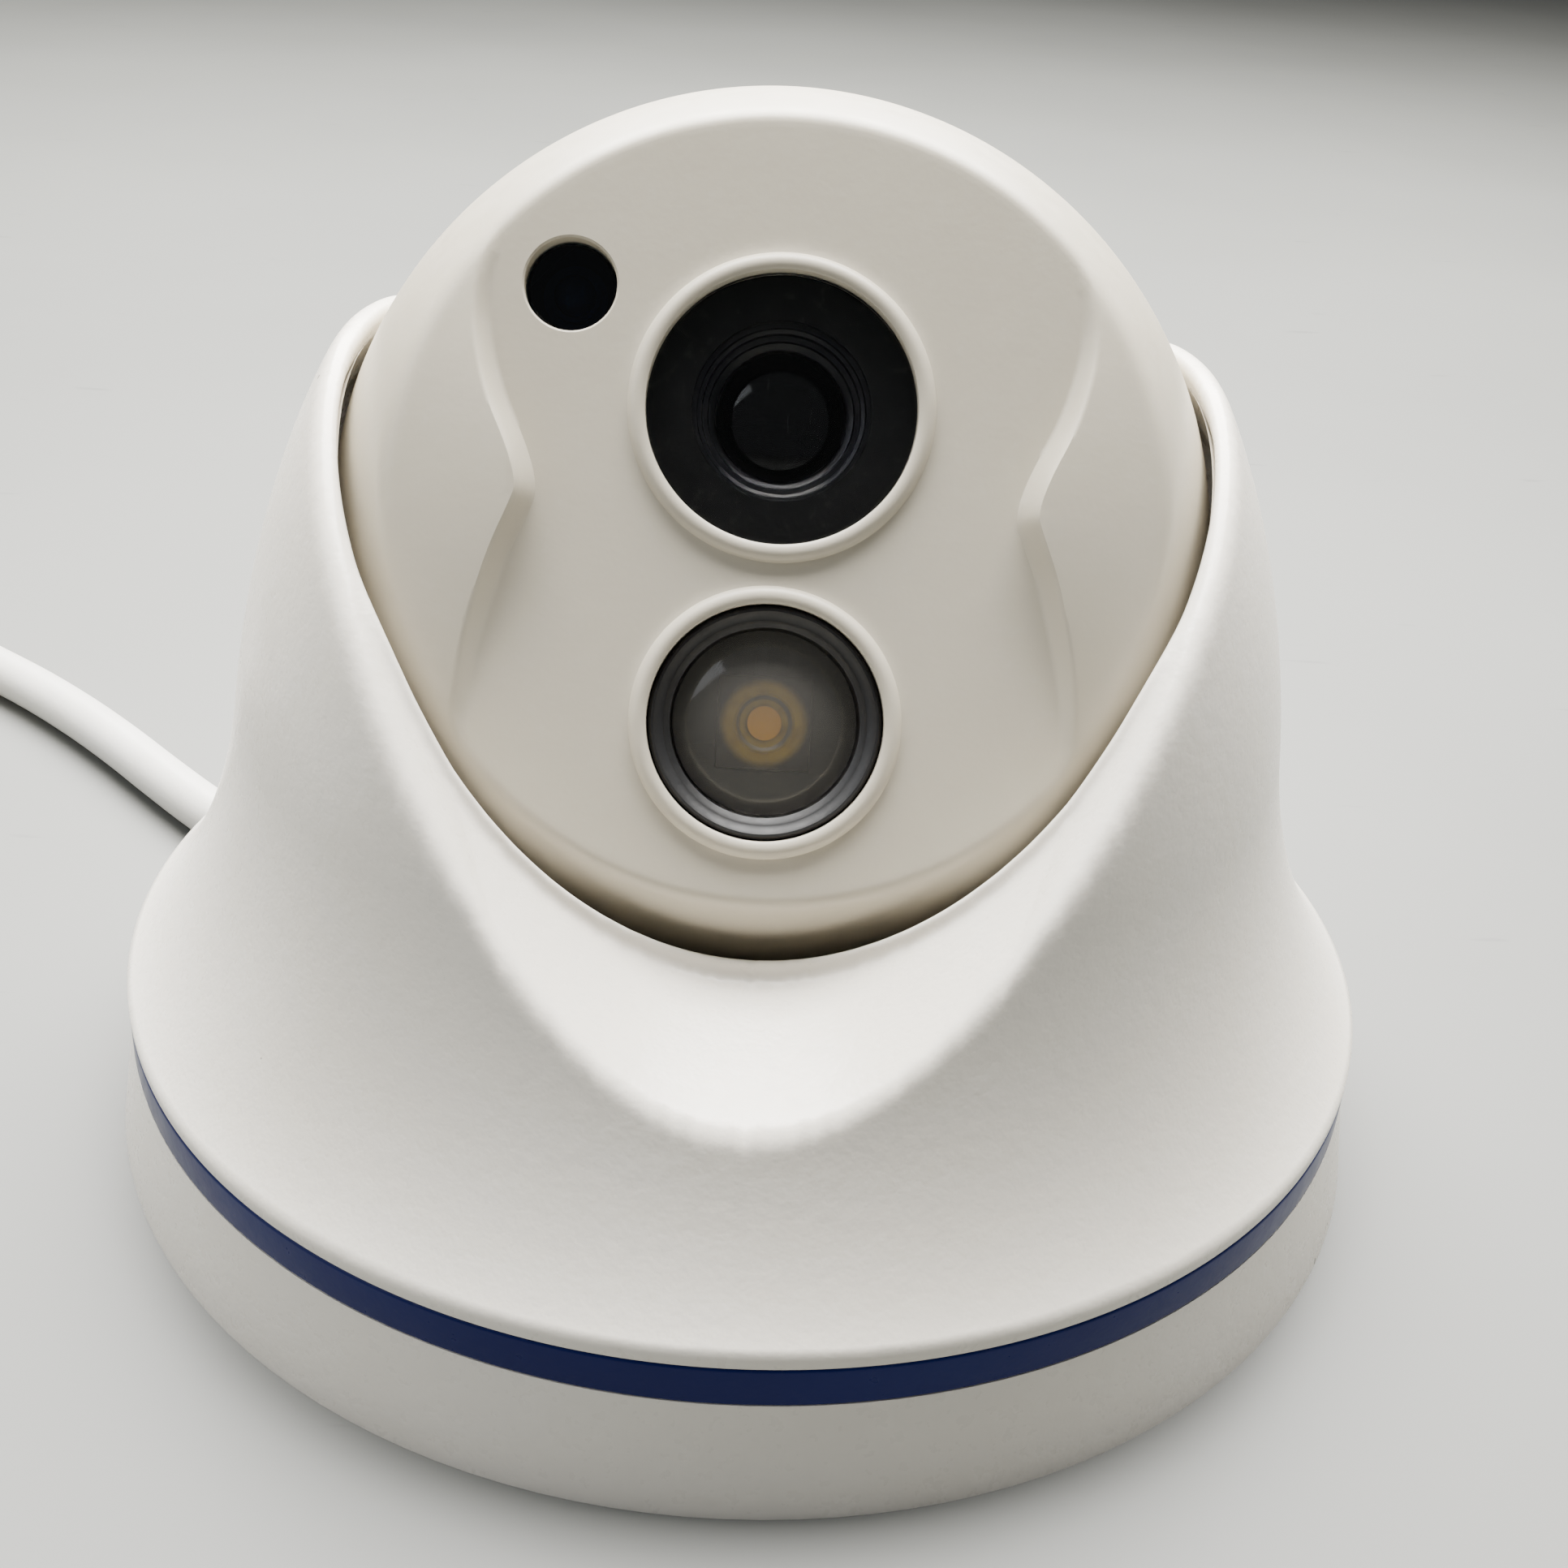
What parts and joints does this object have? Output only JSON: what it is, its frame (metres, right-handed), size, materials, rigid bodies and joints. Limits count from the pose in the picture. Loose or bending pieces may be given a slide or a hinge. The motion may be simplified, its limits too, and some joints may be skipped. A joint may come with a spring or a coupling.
{
  "type": "dome security camera",
  "caption": "Eyeball dome security camera: round base, scooped cover, tilting ball with lens window, infrared lamp and light sensor, and a short pigtail cable.",
  "frame": {"origin": "centre of the base at its resting face", "axes": "+Z out of the mounting surface, the lens looks towards -Y"},
  "size_m": [0.1938, 0.1262, 0.0728],
  "materials": {
    "base_plastic": "gloss white ABS, light orange-peel texture",
    "cover_plastic": "gloss white ABS, light orange-peel texture",
    "trim_plastic": "gloss navy",
    "ball_plastic": "satin warm grey-white",
    "black_plastic": "satin black",
    "black_rubber": "matt black",
    "white_rubber": "matt white",
    "window_glass": "clear, dusty",
    "lens_glass": "coated, dark",
    "lamp_resin": "clear resin",
    "filter_glass": "cyan coated",
    "lamp_chip": "amber phosphor",
    "sensor_chip": "dark resin",
    "board_green": "solder mask",
    "board_black": "solder mask",
    "socket_nylon": "natural nylon",
    "steel": "zinc plated",
    "brass": "turned",
    "nickel": "nickel plated",
    "cable_pvc": "satin white PVC",
    "cable_black": "black jacket"
  },
  "bodies": {
    "base": {"mounting_base": "base_plastic", "trim_ring": "trim_plastic", "cable_gland": "white_rubber", "cable_clamp": "steel", "clamp_screws": "steel", "inner_cable": "cable_black", "cord": "cable_pvc", "cord_coil": "cable_pvc", "cord_tail": "cable_pvc", "coil_tie": "black_plastic", "lead_splitter": "cable_pvc", "video_lead": "cable_pvc", "power_lead": "cable_pvc", "video_boot": "cable_pvc", "video_shell": "nickel", "video_insulator": "socket_nylon", "video_contact": "brass", "power_jack": "black_plastic", "power_contact": "nickel"},
    "cover": {"top_cover": "cover_plastic"},
    "swivel": {"seat_ring": "black_plastic"},
    "ball": {"ball_front_shell": "ball_plastic", "ball_rear_shell": "ball_plastic", "shell_screws": "steel", "ball_grommet": "black_rubber", "lens_window": "window_glass", "window_gasket": "black_rubber", "lens_mount": "black_plastic", "filter_housing": "black_plastic", "filter_coil": "brass", "image_sensor": "sensor_chip", "main_board": "board_green", "board_chips": "sensor_chip", "board_sockets": "socket_nylon", "board_standoffs": "brass", "board_screws": "steel", "board_harness": "cable_black", "lamp_board": "board_black", "lamp_board_screws": "steel", "lamp_package": "lamp_chip", "lamp_lens": "lamp_resin", "lamp_holder": "black_plastic", "light_sensor": "sensor_chip", "sensor_window": "lens_glass"},
    "lens": {"lens_barrel": "black_plastic", "lens_front_glass": "lens_glass", "lens_lock_ring": "brass"},
    "filter": {"filter_slide": "black_plastic", "filter_glass": "filter_glass"}
  },
  "joints": [
    {"name": "cover_twist", "type": "hinge", "parent": "base", "child": "cover", "pos_m": [0, 0, 0.0108], "axis": [0, 0, 1], "range_deg": [0, 18]},
    {"name": "eyeball_pan", "type": "hinge", "parent": "base", "child": "swivel", "pos_m": [0, 0, 0.043], "axis": [0, 0, 1], "range_deg": [-90, 90], "deforming": ["inner_cable"]},
    {"name": "eyeball_tilt", "type": "hinge", "parent": "swivel", "child": "ball", "pos_m": [0, 0, 0.043], "axis": [-1, 0, 0], "range_deg": [-13, 57], "deforming": ["inner_cable"]},
    {"name": "lens_focus", "type": "hinge", "parent": "ball", "child": "lens", "pos_m": [0, 0.00291, 0.04847], "axis": [0, -0.8829, 0.4695], "range_deg": [-90, 90]},
    {"name": "filter_switch", "type": "slide", "parent": "ball", "child": "filter", "axis": [1, 0, 0], "range_m": [0, 0.0055]}
  ]
}
